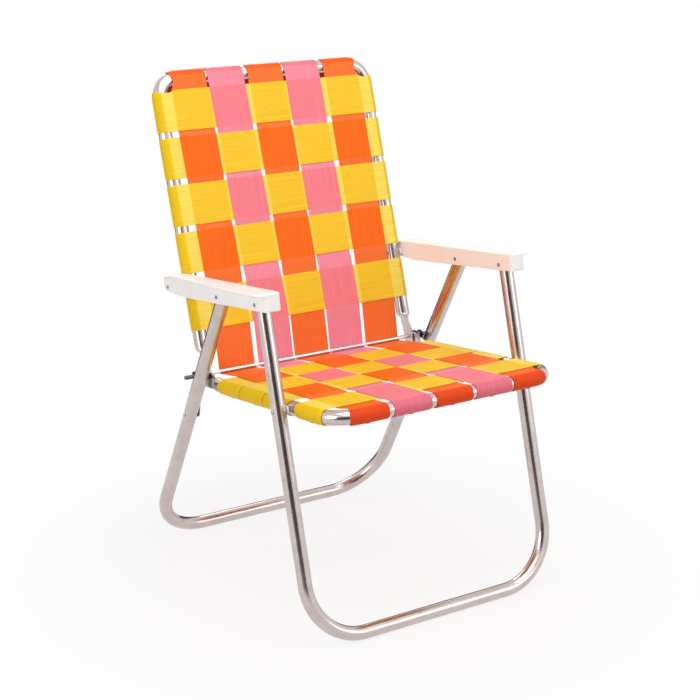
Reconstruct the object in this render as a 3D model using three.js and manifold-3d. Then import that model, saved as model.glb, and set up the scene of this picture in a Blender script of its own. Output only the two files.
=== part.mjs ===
// Folding webbed lawn chair: four bent aluminium tubes, two moulded armrests, short
// hinge links, one cross rod and a seat and back woven from flat straps.
// Millimetres, +Z up, the sitter faces -Y, +X is the sitter's left.
import * as THREE from 'three';
import { mergeVertices } from 'three/addons/utils/BufferGeometryUtils.js';
import Module from 'manifold-3d';

const wasm = await Module();
wasm.setup();

// Stock sizes
const TUBE_D = 25.4;
const TUBE_WALL = 1.5;
const STRAP_W = 76;
const SEAT_ROW_W = 80;
const STRAP_T = 1.2;
const ROD_D = 7.9;
const RIVET_D = 4.8;
const RIVET_HEAD_D = 7;
const RIVET_HEAD_H = 1.8;
const WASHER_D = 16;

// Clearances
const FIT = 0.3;            // between pieces that touch or turn on each other
const WEAVE_GAP = 0.4;      // between crossing straps
const ARM_CLEAR = 2.1;      // armrest to the strapped back upright beside it
const CHANNEL_CLEAR = 0.5;  // armrest wall to the leg inside it
const CREASE_GAP = 2;       // strap end to the rod's centre line, along the strap

// Back, measured along its uprights and square to them
const ARM_PIVOT_HEIGHT = 543;
const BACK_RECLINE = 17.4;
const BACK_ABOVE_ARM = 380;
const ROD_BELOW_ARM = 169;
const ROD_FORWARD = 7.3;
const BACK_HALF = 226;
const BACK_BEND = 38;

// Armrests, measured along and square to their tops
const ARM_SLOPE = 7.25;
const ARM_REACH = 320;
const FRONT_PIVOT_DROP = 3.4;
const LEG_PIVOT_REACH = 186;
const LEG_PIVOT_DROP = 1.9;
const ARM_TOP = 18.2;
const ARM_CREST_TOP = 22.8;
const ARM_CREST = 35;       // crest ahead of the rear pivot
const ARM_REAR_TOP = 14;
const ARM_BOTTOM = 13.5;
const ARM_REAR_OVER = 19;
const ARM_FRONT_OVER = 37.5;
const ARM_RISE = 5.2;
const ARM_RISE_LENGTH = 50;
const ARM_WALL = 2.5;
const ARM_PLATE_T = 4;
const ARM_LIP = 14.5;
const ARM_LIP_CORNER = 12;
const ARM_CORNER = 8;

// Seat, measured along its rails
const SEAT_REACH = 309;
const SEAT_RISE = 3.7;
const RAIL_DROP = 15;
const SEAT_OVERHANG = 132;
const SEAT_BEND = 49;

// Legs
const LEG_END = 8;          // tube past its pivot inside the armrest
const FRONT_BEND = 105;
const REAR_LEAN = 28.8;
const REAR_BEND = 105;
const LINK_DROP = 293;      // rear leg's pivot in the armrest down to the link

// Flattened tube ends on the rod
const FLAT_T = 4;
const BACK_FLAT_TALL = 27;
const SEAT_FLAT_TALL = 33;
const SEAT_FLAT_RISE = 7;
const FLAT_END = 15;        // plate past the rod
const FLAT_LENGTH = 48;     // plate from the rod to the round tube
const FLAT_NECK = 24.5;     // plate's height where it meets the crimp
const NECK_SHARE = 0.4;     // of the plate's shift from the tube's axis, left at the neck
const CRIMP = 11;

// Link and hinge hardware
const LINK_T = 2.5;
const LINK_W = 16;
const BUSH_D = 12;
const BUSH_L = 4;
const RETAINER_D = 18;
const RETAINER_T = 6;
const ROD_STUB = 19;        // bare thread past each retainer
const SPACER_D = 20;

// Weave
const COLUMN_EDGE = 58;     // outer column's middle inside the back upright's axis
const COLUMN_COUNT = 5;
const BACK_ROW_FIRST = 62;
const BACK_ROW_PITCH = 87.3;
const UPPER_ROWS = 4;
const LAST_ROW_BELOW_ARM = 50;
const SEAT_ROW_PITCH = 81.8;
const SEAT_ROW_AHEAD = 63.5;  // front row's middle ahead of the seat pivot
const SEAT_ROW_EDGE = 3.5;  // next row's front edge behind the seat pivot
const REAR_SEAT_ROWS = 3;
const STRAP_WRAP = 182;
const STRAP_TAIL = 24;
const STRAP_RAMP = 0.2;     // flat stretch past a crossing strap's edge

// Facets
const TUBE_SIDES = 14;
const BEND_STEPS = 7;
const WRAP_STEPS = 9;
const TURN_SIDES = 16;

const COLOURS = {
  aluminium: { color: 0xc9c8c4, roughness: 0.25, metalness: 1 },
  steel: { color: 0xa9adae, roughness: 0.35, metalness: 1 },
  white: { color: 0xf4f3f0, roughness: 0.45, metalness: 0 },
  grey: { color: 0xb9bcb8, roughness: 0.5, metalness: 0 },
  black: { color: 0x17181a, roughness: 0.5, metalness: 0 },
  yellow: { color: 0xfbc62f, roughness: 0.75, metalness: 0 },
  orange: { color: 0xf8661f, roughness: 0.75, metalness: 0 },
  pink: { color: 0xfb7f9a, roughness: 0.75, metalness: 0 },
};
const COLUMN_COLOURS = ['orange', 'pink', 'orange', 'pink', 'orange'];

const TUBE_R = TUBE_D / 2;
const ROD_R = ROD_D / 2;
const RIVET_R = RIVET_D / 2;
const STRAP_STAND = FIT + STRAP_T;
const STRAP_R = TUBE_R + FIT + STRAP_T / 2;
const WEAVE_OFFSET = (STRAP_T + WEAVE_GAP) / 2;
const SIDES = { right: -1, left: 1 };

// Places across the chair, from its middle to one side
const ARM_INNER = BACK_HALF + TUBE_R + STRAP_STAND + ARM_CLEAR;
const LEG_HALF = ARM_INNER + ARM_WALL + CHANNEL_CLEAR + TUBE_R;
const ARM_OUTER = 2 * LEG_HALF - ARM_INNER;
const LEG_INNER = LEG_HALF - TUBE_R;
const LINK_OUTER = LEG_INNER - FIT;
const LINK_INNER = LINK_OUTER - LINK_T;
const SEAT_HALF = LINK_INNER - FIT - STRAP_STAND - TUBE_R;
const SEAT_PLATE = BACK_HALF + FLAT_T + FIT;
const SPACER_FROM = SEAT_PLATE + FLAT_T / 2 + FIT;
const SPACER_TO = LINK_INNER - FIT;
const BUSH_FROM = LINK_OUTER + FIT;
const BUSH_TO = BUSH_FROM + BUSH_L;
const RETAINER_FROM = BUSH_TO + FIT;
const RETAINER_TO = RETAINER_FROM + RETAINER_T;
const ROD_END = RETAINER_TO + ROD_STUB;

// Side view points are (y, z): y to the rear of the armrest's rear pivot, z from the floor
const rad = THREE.MathUtils.degToRad;
const leaning = (deg) => new THREE.Vector2(Math.sin(rad(deg)), Math.cos(rad(deg)));
const rising = (deg) => new THREE.Vector2(-Math.cos(rad(deg)), Math.sin(rad(deg)));
const across = (dir) => new THREE.Vector2(-dir.y, dir.x);
const along = (from, dir, far) => from.clone().addScaledVector(dir, far);

function toFloor(from, dir) {
  return (from.y - TUBE_R) / -dir.y;
}

const backUp = leaning(BACK_RECLINE);
const armDir = rising(ARM_SLOPE);
const armDown = across(armDir);
const armPivot = new THREE.Vector2(0, ARM_PIVOT_HEIGHT);
const rod = along(along(armPivot, backUp, -ROD_BELOW_ARM), across(backUp), ROD_FORWARD);
const frontPivot = along(along(armPivot, armDir, ARM_REACH), armDown, FRONT_PIVOT_DROP);
const rearPivot = along(along(armPivot, armDir, LEG_PIVOT_REACH), armDown, LEG_PIVOT_DROP);
const seatPivot = along(rod, rising(SEAT_RISE), SEAT_REACH);
const railDir = rising(SEAT_RISE + THREE.MathUtils.radToDeg(Math.asin(RAIL_DROP / SEAT_REACH)));
const railReach = Math.sqrt(SEAT_REACH ** 2 - RAIL_DROP ** 2);
const frontDir = seatPivot.clone().sub(frontPivot).normalize();
const rearDir = leaning(REAR_LEAN).multiply(new THREE.Vector2(1, -1));
const linkPivot = along(rearPivot, rearDir, LINK_DROP);

const chair = new THREE.Group();

// A place in the side view: local x is across the chair, y runs along dir, z is square to both
function placed(origin, dir) {
  const group = new THREE.Group();
  const side = across(dir);
  group.applyMatrix4(new THREE.Matrix4().makeBasis(
    new THREE.Vector3(1, 0, 0),
    new THREE.Vector3(0, dir.x, dir.y),
    new THREE.Vector3(0, side.x, side.y),
  ).setPosition(0, origin.x, origin.y));
  chair.add(group);
  const local = (point) => {
    const offset = point.clone().sub(origin);
    return new THREE.Vector2(offset.dot(dir), offset.dot(side));
  };
  return { group, local };
}

function addMesh(parent, name, geometry, colour) {
  geometry.computeVertexNormals();
  const mesh = new THREE.Mesh(geometry, new THREE.MeshStandardMaterial(COLOURS[colour]));
  mesh.name = name;
  parent.add(mesh);
  return mesh;
}

// Boolean cuts and joins

function solid(geometry) {
  const bare = geometry.clone();
  bare.deleteAttribute('normal');
  bare.deleteAttribute('uv');
  const merged = mergeVertices(bare);
  return new wasm.Manifold(new wasm.Mesh({
    numProp: 3,
    vertProperties: new Float32Array(merged.attributes.position.array),
    triVerts: new Uint32Array(merged.index.array),
  }));
}

function fromSolid(body) {
  const mesh = body.getMesh();
  const geometry = new THREE.BufferGeometry();
  geometry.setAttribute('position', new THREE.BufferAttribute(new Float32Array(mesh.vertProperties), 3));
  geometry.setIndex(new THREE.BufferAttribute(new Uint32Array(mesh.triVerts), 1));
  return geometry;
}

// A round bar across the chair, used to bore pivot holes
function crossBar(radius, halfLength, y, z) {
  const bar = new THREE.CylinderGeometry(radius, radius, 2 * halfLength, TURN_SIDES);
  bar.rotateZ(Math.PI / 2);
  bar.translate(0, y, z);
  return solid(bar);
}

function bored(geometry, holes) {
  const reach = ARM_OUTER + ARM_LIP;
  const cut = (body, hole) => body.subtract(crossBar(hole.radius + FIT, reach, hole.at.x, hole.at.y));
  return fromSolid(holes.reduce(cut, solid(geometry)));
}

// Bent tubes: local x across, y from the free ends to the bar, z square to the frame

function ringPoints(ring, shrink) {
  const points = [];
  for (let k = 0; k < TUBE_SIDES; k += 1) {
    const angle = (2 * Math.PI * k) / TUBE_SIDES;
    const c = Math.cos(angle);
    const s = Math.sin(angle);
    const flat = 2 / ring.power;
    const wide = (ring.wide - shrink) * Math.sign(c) * Math.abs(c) ** flat;
    const tall = (ring.tall - shrink) * Math.sign(s) * Math.abs(s) ** flat;
    points.push(ring.x + ring.normal.x * wide, ring.y + ring.normal.y * wide, ring.z + tall);
  }
  return points;
}

function hollowLoft(rings) {
  const positions = rings.flatMap((ring) => ringPoints(ring, 0));
  rings.forEach((ring) => positions.push(...ringPoints(ring, TUBE_WALL)));
  const inner = rings.length * TUBE_SIDES;
  const last = (rings.length - 1) * TUBE_SIDES;
  const index = [];
  const quad = (a, b, c, d) => index.push(a, b, c, a, c, d);
  for (let k = 0; k < TUBE_SIDES; k += 1) {
    const next = (k + 1) % TUBE_SIDES;
    for (let row = 0; row < last; row += TUBE_SIDES) {
      quad(row + k, row + TUBE_SIDES + k, row + TUBE_SIDES + next, row + next);
      quad(inner + row + k, inner + row + next, inner + row + TUBE_SIDES + next, inner + row + TUBE_SIDES + k);
    }
    quad(k, next, inner + next, inner + k);
    quad(last + k, inner + last + k, inner + last + next, last + next);
  }
  const geometry = new THREE.BufferGeometry();
  geometry.setAttribute('position', new THREE.Float32BufferAttribute(positions, 3));
  geometry.setIndex(index);
  return geometry;
}

const ROUND = { wide: TUBE_R, tall: TUBE_R, power: 2, x: 0, z: 0 };

// Stations along one leg from its free end, for an end pressed flat round the rod
function flattenedEnd(tall, plateX, plateZ) {
  const plate = { wide: FLAT_T / 2, tall: tall / 2, power: 5, x: plateX, z: plateZ };
  const toCrimp = FLAT_END + FLAT_LENGTH;
  const neck = { ...plate, tall: FLAT_NECK / 2, z: plateZ * NECK_SHARE };
  const halfWay = {
    wide: (neck.wide + ROUND.wide) / 2,
    tall: (neck.tall + ROUND.tall) / 2,
    power: 2.5,
    x: neck.x / 2,
    z: neck.z / 2,
  };
  return [
    { ...plate, at: 0, tall: plate.tall * 0.5 },
    { ...plate, at: FLAT_END * 0.2, tall: plate.tall * 0.8 },
    { ...plate, at: FLAT_END * 0.6 },
    { ...plate, at: FLAT_END * 2 },
    { ...neck, at: toCrimp - CRIMP },
    { ...halfWay, at: toCrimp - CRIMP / 2 },
    { ...ROUND, at: toCrimp },
  ];
}

function uTube(halfWidth, length, bend, stations) {
  const leg = stations.map((s) => ({ ...s, x: halfWidth + s.x, y: s.at, normal: new THREE.Vector2(1, 0) }));
  for (let k = 0; k <= BEND_STEPS; k += 1) {
    const turn = (Math.PI / 2) * (k / BEND_STEPS);
    leg.push({
      ...ROUND,
      x: halfWidth - bend * (1 - Math.cos(turn)),
      y: length - bend * (1 - Math.sin(turn)),
      normal: new THREE.Vector2(Math.cos(turn), Math.sin(turn)),
    });
  }
  const mirrored = leg.map((r) => ({ ...r, x: -r.x, normal: new THREE.Vector2(-r.normal.x, r.normal.y) }));
  const flip = (r) => ({ ...r, normal: r.normal.clone().negate() });
  return hollowLoft([...mirrored.map(flip), ...leg.reverse().map(flip)]);
}

// Straps: a thin outline along a path, extruded over the strap's width

function ribbon(path, width) {
  const normals = path.map((point, i) => {
    const before = point.clone().sub(path[Math.max(i - 1, 0)]).normalize();
    const after = path[Math.min(i + 1, path.length - 1)].clone().sub(point).normalize();
    const middle = before.clone().add(after).normalize();
    const lean = Math.max(middle.dot(i === 0 ? after : before), 0.5);
    return new THREE.Vector2(-middle.y, middle.x).multiplyScalar(STRAP_T / 2 / lean);
  });
  const upper = path.map((point, i) => point.clone().add(normals[i]));
  const lower = path.map((point, i) => point.clone().sub(normals[i]));
  const shape = new THREE.Shape([...upper, ...lower.reverse()]);
  const geometry = new THREE.ExtrudeGeometry(shape, { depth: width, bevelEnabled: false });
  geometry.translate(0, 0, -width / 2);
  return geometry;
}

// Arc of a strap round a tube at (x, 0), angles in degrees from the path's first axis
function wrapArc(x, fromDeg, toDeg) {
  const points = [];
  for (let k = 0; k <= WRAP_STEPS; k += 1) {
    const angle = rad(fromDeg + ((toDeg - fromDeg) * k) / WRAP_STEPS);
    points.push(new THREE.Vector2(x + STRAP_R * Math.cos(angle), STRAP_R * Math.sin(angle)));
  }
  return points;
}

// Flat stretches over (+1) or under (-1) the crossing straps of a width at the given middles
function crossings(middles, overs, width) {
  const reach = width / 2 + STRAP_RAMP;
  return middles.flatMap((middle, i) => {
    const level = STRAP_R + overs[i] * WEAVE_OFFSET;
    return [new THREE.Vector2(middle - reach, level), new THREE.Vector2(middle + reach, level)];
  });
}

const columnPitch = (2 * (BACK_HALF - COLUMN_EDGE)) / (COLUMN_COUNT - 1);
const columnMiddles = Array.from({ length: COLUMN_COUNT }, (_, j) => (j - (COLUMN_COUNT - 1) / 2) * columnPitch);
const rowIsOver = (row, column) => ((row + column) % 2 === 0 ? 1 : -1);

function rowStrap(halfWidth, row, rowWidth) {
  const overs = columnMiddles.map((_, column) => rowIsOver(row, column));
  return ribbon([
    ...wrapArc(-halfWidth, 90 + STRAP_WRAP, 90),
    ...crossings(columnMiddles, overs, STRAP_W),
    ...wrapArc(halfWidth, 90, 90 - STRAP_WRAP),
  ], rowWidth);
}

function columnStrap(rowMiddles, rowWidth, column, endAlong, endAbove) {
  const overs = rowMiddles.map((_, row) => -rowIsOver(row, column));
  return ribbon([
    new THREE.Vector2(STRAP_TAIL, -STRAP_R),
    ...wrapArc(0, 270, 90),
    ...crossings(rowMiddles, overs, rowWidth),
    new THREE.Vector2(endAlong, endAbove),
  ], STRAP_W);
}

// Puts a strap's outline axes (first, second) into the side view at a point
function strapPlace(parent, first, second, point) {
  const third = first.clone().cross(second);
  const place = new THREE.Group();
  place.applyMatrix4(new THREE.Matrix4().makeBasis(first, second, third).setPosition(point));
  parent.add(place);
  return place;
}

// Straps on the face of a frame; dir runs from the bar to the rod, face points at the sitter
function weave(name, bar, dir, face, halfWidth, rowMiddles, rowWidth, endAlong, endAbove) {
  const cross = new THREE.Vector3(1, 0, 0);
  const run = new THREE.Vector3(0, dir.x, dir.y);
  const up = new THREE.Vector3(0, face.x, face.y);
  const barPoint = new THREE.Vector3(0, bar.x, bar.y);
  rowMiddles.forEach((middle, row) => {
    const place = strapPlace(chair, cross, up, barPoint.clone().addScaledVector(run, middle));
    addMesh(place, `${name}_row_${row + 1}`, rowStrap(halfWidth, row, rowWidth), 'yellow');
  });
  columnMiddles.forEach((middle, column) => {
    const place = strapPlace(chair, run, up, barPoint.clone().addScaledVector(cross, middle));
    const strap = columnStrap(rowMiddles, rowWidth, column, endAlong, endAbove);
    addMesh(place, `${name}_column_${column + 1}`, strap, COLUMN_COLOURS[column]);
  });
}

// Turned pieces: a profile of (radius, place across the chair), set at a side view point

function turned(name, profile, side, point, colour) {
  const points = profile.map(([r, x]) => new THREE.Vector2(r, x));
  const geometry = new THREE.LatheGeometry(points, TURN_SIDES);
  const bare = geometry.deleteAttribute('normal').deleteAttribute('uv');
  const mesh = addMesh(chair, name, mergeVertices(bare), colour);
  mesh.rotation.z = side * (-Math.PI / 2);
  mesh.position.set(0, point.x, point.y);
}

function sleeve(name, bore, radius, from, to, side, point, colour) {
  const profile = [[bore, from], [radius, from], [radius, to], [bore, to], [bore, from]];
  turned(name, profile, side, point, colour);
}

// A low domed head on the axis; outward is the sign of the way that it faces
function headProfile(face, outward) {
  const head = RIVET_HEAD_D / 2;
  const seat = face + outward * FIT;
  return [
    [RIVET_R, seat],
    [head, seat],
    [head * 0.9, seat + outward * RIVET_HEAD_H * 0.5],
    [head * 0.5, seat + outward * RIVET_HEAD_H * 0.92],
    [0, seat + outward * RIVET_HEAD_H],
  ];
}

// Frames

const backEnd = along(rod, across(backUp), -ROD_FORWARD).addScaledVector(backUp, -FLAT_END);
const backLength = FLAT_END + ROD_BELOW_ARM + BACK_ABOVE_ARM;
const railEnd = along(along(seatPivot, railDir, -railReach), railDir, -FLAT_END);
const seatLength = FLAT_END + railReach + SEAT_OVERHANG;
const frontEnd = along(frontPivot, frontDir, -LEG_END);
const frontLength = toFloor(frontEnd, frontDir);
const rearEnd = along(rearPivot, rearDir, -LEG_END);
const rearLength = toFloor(rearEnd, rearDir);

function buildFrame(name, origin, dir, tube, holes) {
  const { group, local } = placed(origin, dir);
  const bores = holes.map(([point, radius]) => ({ at: local(point), radius }));
  addMesh(group, name, bored(tube, bores), 'aluminium');
}

function buildFrames() {
  const backPlate = flattenedEnd(BACK_FLAT_TALL, 0, ROD_FORWARD);
  const seatPlate = flattenedEnd(SEAT_FLAT_TALL, SEAT_PLATE - SEAT_HALF, -SEAT_FLAT_RISE);
  const plainEnd = [{ ...ROUND, at: 0 }];
  buildFrame('back_frame', backEnd, backUp, uTube(BACK_HALF, backLength, BACK_BEND, backPlate),
    [[rod, ROD_R], [armPivot, RIVET_R]]);
  buildFrame('seat_frame', railEnd, railDir, uTube(SEAT_HALF, seatLength, SEAT_BEND, seatPlate),
    [[rod, ROD_R], [seatPivot, RIVET_R]]);
  buildFrame('front_legs', frontEnd, frontDir, uTube(LEG_HALF, frontLength, FRONT_BEND, plainEnd),
    [[frontPivot, RIVET_R], [seatPivot, RIVET_R]]);
  buildFrame('rear_legs', rearEnd, rearDir, uTube(LEG_HALF, rearLength, REAR_BEND, plainEnd),
    [[rearPivot, RIVET_R], [linkPivot, RIVET_R]]);
}

// Seat and back straps

function buildWeave() {
  const backBar = along(armPivot, backUp, BACK_ABOVE_ARM);
  const backRows = Array.from({ length: UPPER_ROWS }, (_, i) => BACK_ROW_FIRST + i * BACK_ROW_PITCH);
  backRows.push(BACK_ABOVE_ARM + LAST_ROW_BELOW_ARM);
  const underRod = ROD_R + FIT + STRAP_T / 2;
  weave('back', backBar, backUp.clone().negate(), across(backUp), BACK_HALF, backRows, STRAP_W,
    BACK_ABOVE_ARM + ROD_BELOW_ARM - CREASE_GAP, ROD_FORWARD - underRod);
  const seatBar = along(seatPivot, railDir, SEAT_OVERHANG);
  const seatRows = [SEAT_OVERHANG - SEAT_ROW_AHEAD];
  for (let i = 0; i < REAR_SEAT_ROWS; i += 1) {
    seatRows.push(SEAT_OVERHANG + SEAT_ROW_EDGE + SEAT_ROW_W / 2 + i * SEAT_ROW_PITCH);
  }
  const seatDir = railDir.clone().negate();
  weave('seat', seatBar, seatDir, across(seatDir), SEAT_HALF, seatRows, SEAT_ROW_W,
    SEAT_OVERHANG + railReach - CREASE_GAP, RAIL_DROP - underRod);
}

// Armrests: local y forward along the top, z down, so heights above the pivot line are negative

function armSide() {
  const front = ARM_REACH + ARM_FRONT_OVER;
  const shape = new THREE.Shape();
  const bottomRear = ARM_BOTTOM - ARM_RISE;
  shape.moveTo(-ARM_REAR_OVER, -ARM_REAR_TOP);
  shape.quadraticCurveTo(-ARM_REAR_OVER, -ARM_CREST_TOP, ARM_CREST, -ARM_CREST_TOP);
  shape.lineTo(front, -ARM_TOP);
  shape.lineTo(front, ARM_BOTTOM);
  shape.lineTo(ARM_RISE_LENGTH, ARM_BOTTOM);
  shape.lineTo(0, bottomRear);
  shape.quadraticCurveTo(-ARM_REAR_OVER, bottomRear, -ARM_REAR_OVER, 0);
  return shape;
}

// Upright block over the armrest's plan, whose outer edge flares by the lip to the front
function armPlan(lip) {
  const rear = -ARM_REAR_OVER;
  const front = ARM_REACH + ARM_FRONT_OVER;
  const edge = ARM_OUTER + lip;
  const shape = new THREE.Shape();
  shape.moveTo(rear + ARM_CORNER, ARM_INNER);
  shape.lineTo(front - ARM_CORNER, ARM_INNER);
  shape.quadraticCurveTo(front, ARM_INNER, front, ARM_INNER + ARM_CORNER);
  shape.lineTo(front, edge - ARM_LIP_CORNER);
  shape.quadraticCurveTo(front, edge, front - ARM_LIP_CORNER, edge);
  shape.bezierCurveTo(ARM_REACH / 2, edge, ARM_REACH / 3, ARM_OUTER, rear + ARM_CORNER, ARM_OUTER);
  shape.quadraticCurveTo(rear, ARM_OUTER, rear, ARM_OUTER - ARM_CORNER);
  shape.lineTo(rear, ARM_INNER + ARM_CORNER);
  shape.quadraticCurveTo(rear, ARM_INNER, rear + ARM_CORNER, ARM_INNER);
  const depth = ARM_CREST_TOP + ARM_BOTTOM;
  const geometry = new THREE.ExtrudeGeometry(shape, { depth, bevelEnabled: false, curveSegments: 6 });
  const turn = new THREE.Matrix4().makeBasis(
    new THREE.Vector3(0, 1, 0),
    new THREE.Vector3(1, 0, 0),
    new THREE.Vector3(0, 0, -1),
  );
  geometry.applyMatrix4(turn.setPosition(0, 0, ARM_BOTTOM));
  return solid(geometry);
}

// Extrudes a side outline of (y, z) across the chair between two places
function extrudeAcross(shape, from, to) {
  const geometry = new THREE.ExtrudeGeometry(shape, { depth: to - from, bevelEnabled: false, curveSegments: 6 });
  const turn = new THREE.Matrix4().makeBasis(
    new THREE.Vector3(0, 1, 0),
    new THREE.Vector3(0, 0, 1),
    new THREE.Vector3(1, 0, 0),
  );
  geometry.applyMatrix4(turn.setPosition(from, 0, 0));
  return solid(geometry);
}

function armBody() {
  const walls = extrudeAcross(armSide(), ARM_INNER, ARM_OUTER).intersect(armPlan(0));
  const wide = extrudeAcross(armSide(), ARM_INNER, ARM_OUTER + ARM_LIP);
  const plate = wide.subtract(wide.translate([0, 0, ARM_PLATE_T])).intersect(armPlan(ARM_LIP));
  const rear = ARM_WALL - ARM_REAR_OVER;
  const front = ARM_REACH + ARM_FRONT_OVER - ARM_WALL;
  const channel = new THREE.Shape();
  channel.moveTo(rear, ARM_PLATE_T - ARM_REAR_TOP);
  channel.lineTo(ARM_CREST, ARM_PLATE_T - ARM_CREST_TOP);
  channel.lineTo(front, ARM_PLATE_T - ARM_TOP);
  channel.lineTo(front, 2 * ARM_BOTTOM);
  channel.lineTo(rear, 2 * ARM_BOTTOM);
  const hollow = extrudeAcross(channel, ARM_INNER + ARM_WALL, ARM_OUTER - ARM_WALL);
  return walls.add(plate).subtract(hollow);
}

function mirroredAcross(geometry) {
  geometry.scale(-1, 1, 1);
  const order = geometry.index.array;
  for (let i = 0; i < order.length; i += 3) {
    [order[i], order[i + 1]] = [order[i + 1], order[i]];
  }
  return geometry;
}

function buildArmrests() {
  const { group, local } = placed(armPivot, armDir);
  const holes = [armPivot, rearPivot, frontPivot].map((point) => ({ at: local(point), radius: RIVET_R }));
  Object.entries(SIDES).forEach(([name, side]) => {
    const arm = bored(fromSolid(armBody()), holes);
    addMesh(group, `armrest_${name}`, side > 0 ? arm : mirroredAcross(arm), 'white');
  });
}

// Hinge and pivot hardware

function buildRod() {
  turned('cross_rod', [[0, -ROD_END], [ROD_R, -ROD_END], [ROD_R, ROD_END], [0, ROD_END]], 1, rod, 'steel');
  const bore = ROD_R + FIT;
  Object.entries(SIDES).forEach(([name, side]) => {
    sleeve(`hinge_spacer_${name}`, bore, SPACER_D / 2, SPACER_FROM, SPACER_TO, side, rod, 'black');
    sleeve(`rod_bush_${name}`, bore, BUSH_D / 2, BUSH_FROM, BUSH_TO, side, rod, 'grey');
    sleeve(`rod_retainer_${name}`, bore, RETAINER_D / 2, RETAINER_FROM, RETAINER_TO, side, rod, 'black');
  });
}

function linkShape(length) {
  const half = LINK_W / 2;
  const shape = new THREE.Shape();
  shape.absarc(0, 0, half, Math.PI / 2, (3 * Math.PI) / 2, false);
  shape.absarc(length, 0, half, -Math.PI / 2, Math.PI / 2, false);
  const holeAt = (x, radius) => new THREE.Path().absarc(x, 0, radius, 0, 2 * Math.PI, true);
  shape.holes.push(holeAt(0, ROD_R + FIT), holeAt(length, RIVET_R + FIT));
  return shape;
}

function buildLinks() {
  const run = linkPivot.clone().sub(rod);
  const length = run.length();
  const first = new THREE.Vector3(0, run.x, run.y).normalize();
  const second = new THREE.Vector3(0, -first.z, first.y);
  Object.entries(SIDES).forEach(([name, side]) => {
    const geometry = new THREE.ExtrudeGeometry(linkShape(length), { depth: LINK_T, bevelEnabled: false, curveSegments: 8 });
    const nearest = side > 0 ? LINK_INNER : -LINK_OUTER;
    const place = strapPlace(chair, first, second, new THREE.Vector3(nearest, rod.x, rod.y));
    addMesh(place, `hinge_link_${name}`, geometry, 'steel');
  });
}

function buildRivets() {
  const washer = WASHER_D / 2;
  const legOuter = LEG_HALF + TUBE_R;
  const backInner = BACK_HALF - TUBE_R;
  const backOuter = BACK_HALF + TUBE_R;
  const railInner = SEAT_HALF - TUBE_R;
  const railOuter = SEAT_HALF + TUBE_R;
  const through = [...headProfile(ARM_INNER, -1).reverse(), ...headProfile(ARM_OUTER, 1)];
  const rear = [
    ...headProfile(backInner, -1).reverse(),
    ...headProfile(ARM_OUTER, 1),
  ];
  const seatSide = [
    [0, railOuter + FIT],
    [RIVET_R, railOuter + FIT],
    [RIVET_R, railOuter + STRAP_STAND + FIT],
    [washer, railOuter + STRAP_STAND + FIT],
    [washer, LEG_INNER - FIT],
    [RIVET_R, LEG_INNER - FIT],
    ...headProfile(legOuter, 1),
  ];
  const railPin = [...headProfile(railInner, -1).reverse(), [RIVET_R, railOuter - FIT], [0, railOuter - FIT]];
  const linkPin = [[0, LEG_INNER], [RIVET_R, LEG_INNER], ...headProfile(legOuter, 1)];
  Object.entries(SIDES).forEach(([name, side]) => {
    turned(`arm_rear_rivet_${name}`, rear, side, armPivot, 'aluminium');
    sleeve(`arm_washer_${name}`, RIVET_R + FIT, washer, backOuter + FIT, ARM_INNER - FIT, side, armPivot, 'white');
    turned(`arm_middle_rivet_${name}`, through, side, rearPivot, 'aluminium');
    turned(`arm_front_rivet_${name}`, through, side, frontPivot, 'aluminium');
    turned(`seat_pivot_rivet_${name}`, seatSide, side, seatPivot, 'aluminium');
    turned(`rail_pin_${name}`, railPin, side, seatPivot, 'aluminium');
    turned(`link_rivet_${name}`, linkPin, side, linkPivot, 'aluminium');
  });
}

buildFrames();
buildWeave();
buildArmrests();
buildRod();
buildLinks();
buildRivets();

// Stands the chair on the floor with the middle of its box over the origin
const box = new THREE.Box3().setFromObject(chair, true);
chair.position.set(0, -(box.min.y + box.max.y) / 2, -box.min.z);

export default chair;
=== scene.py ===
"""Looks of the folding webbed lawn chair: fine tubes, woven straps, moulded armrests and hinge hardware."""

import math

import bmesh
import bpy
from mathutils import Matrix, Vector


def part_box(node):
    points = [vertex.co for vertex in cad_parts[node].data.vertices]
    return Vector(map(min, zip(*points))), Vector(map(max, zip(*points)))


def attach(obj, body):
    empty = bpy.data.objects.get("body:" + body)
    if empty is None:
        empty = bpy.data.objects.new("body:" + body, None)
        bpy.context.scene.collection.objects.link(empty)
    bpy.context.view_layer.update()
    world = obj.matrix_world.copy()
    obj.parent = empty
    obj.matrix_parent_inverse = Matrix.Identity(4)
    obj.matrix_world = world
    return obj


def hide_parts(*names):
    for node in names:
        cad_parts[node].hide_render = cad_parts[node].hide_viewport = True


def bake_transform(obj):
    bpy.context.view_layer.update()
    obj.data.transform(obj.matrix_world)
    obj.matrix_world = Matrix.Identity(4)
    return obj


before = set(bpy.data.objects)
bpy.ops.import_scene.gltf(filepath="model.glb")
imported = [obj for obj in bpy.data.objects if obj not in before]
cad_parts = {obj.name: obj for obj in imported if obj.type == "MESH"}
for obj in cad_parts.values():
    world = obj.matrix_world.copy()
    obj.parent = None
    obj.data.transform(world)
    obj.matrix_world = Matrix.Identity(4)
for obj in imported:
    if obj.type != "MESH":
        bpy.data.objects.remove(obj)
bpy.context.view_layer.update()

# Sizes shared with the solids, in metres
TUBE_R = 0.0127
TUBE_WALL = 0.0015
STRAP_W = 0.076
SEAT_ROW_W = 0.080
STRAP_T = 0.0012
FIT = 0.0003
WEAVE_OFFSET = 0.0008
STRAP_R = TUBE_R + FIT + STRAP_T / 2
ROD_R = 0.00395
ROD_END = 0.2746
UNDER_ROD = ROD_R + FIT + STRAP_T / 2
RIVET_R = 0.0024
RIVET_HEAD_R = 0.0035
RIVET_HEAD_H = 0.0018
WASHER_R = 0.008

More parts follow.
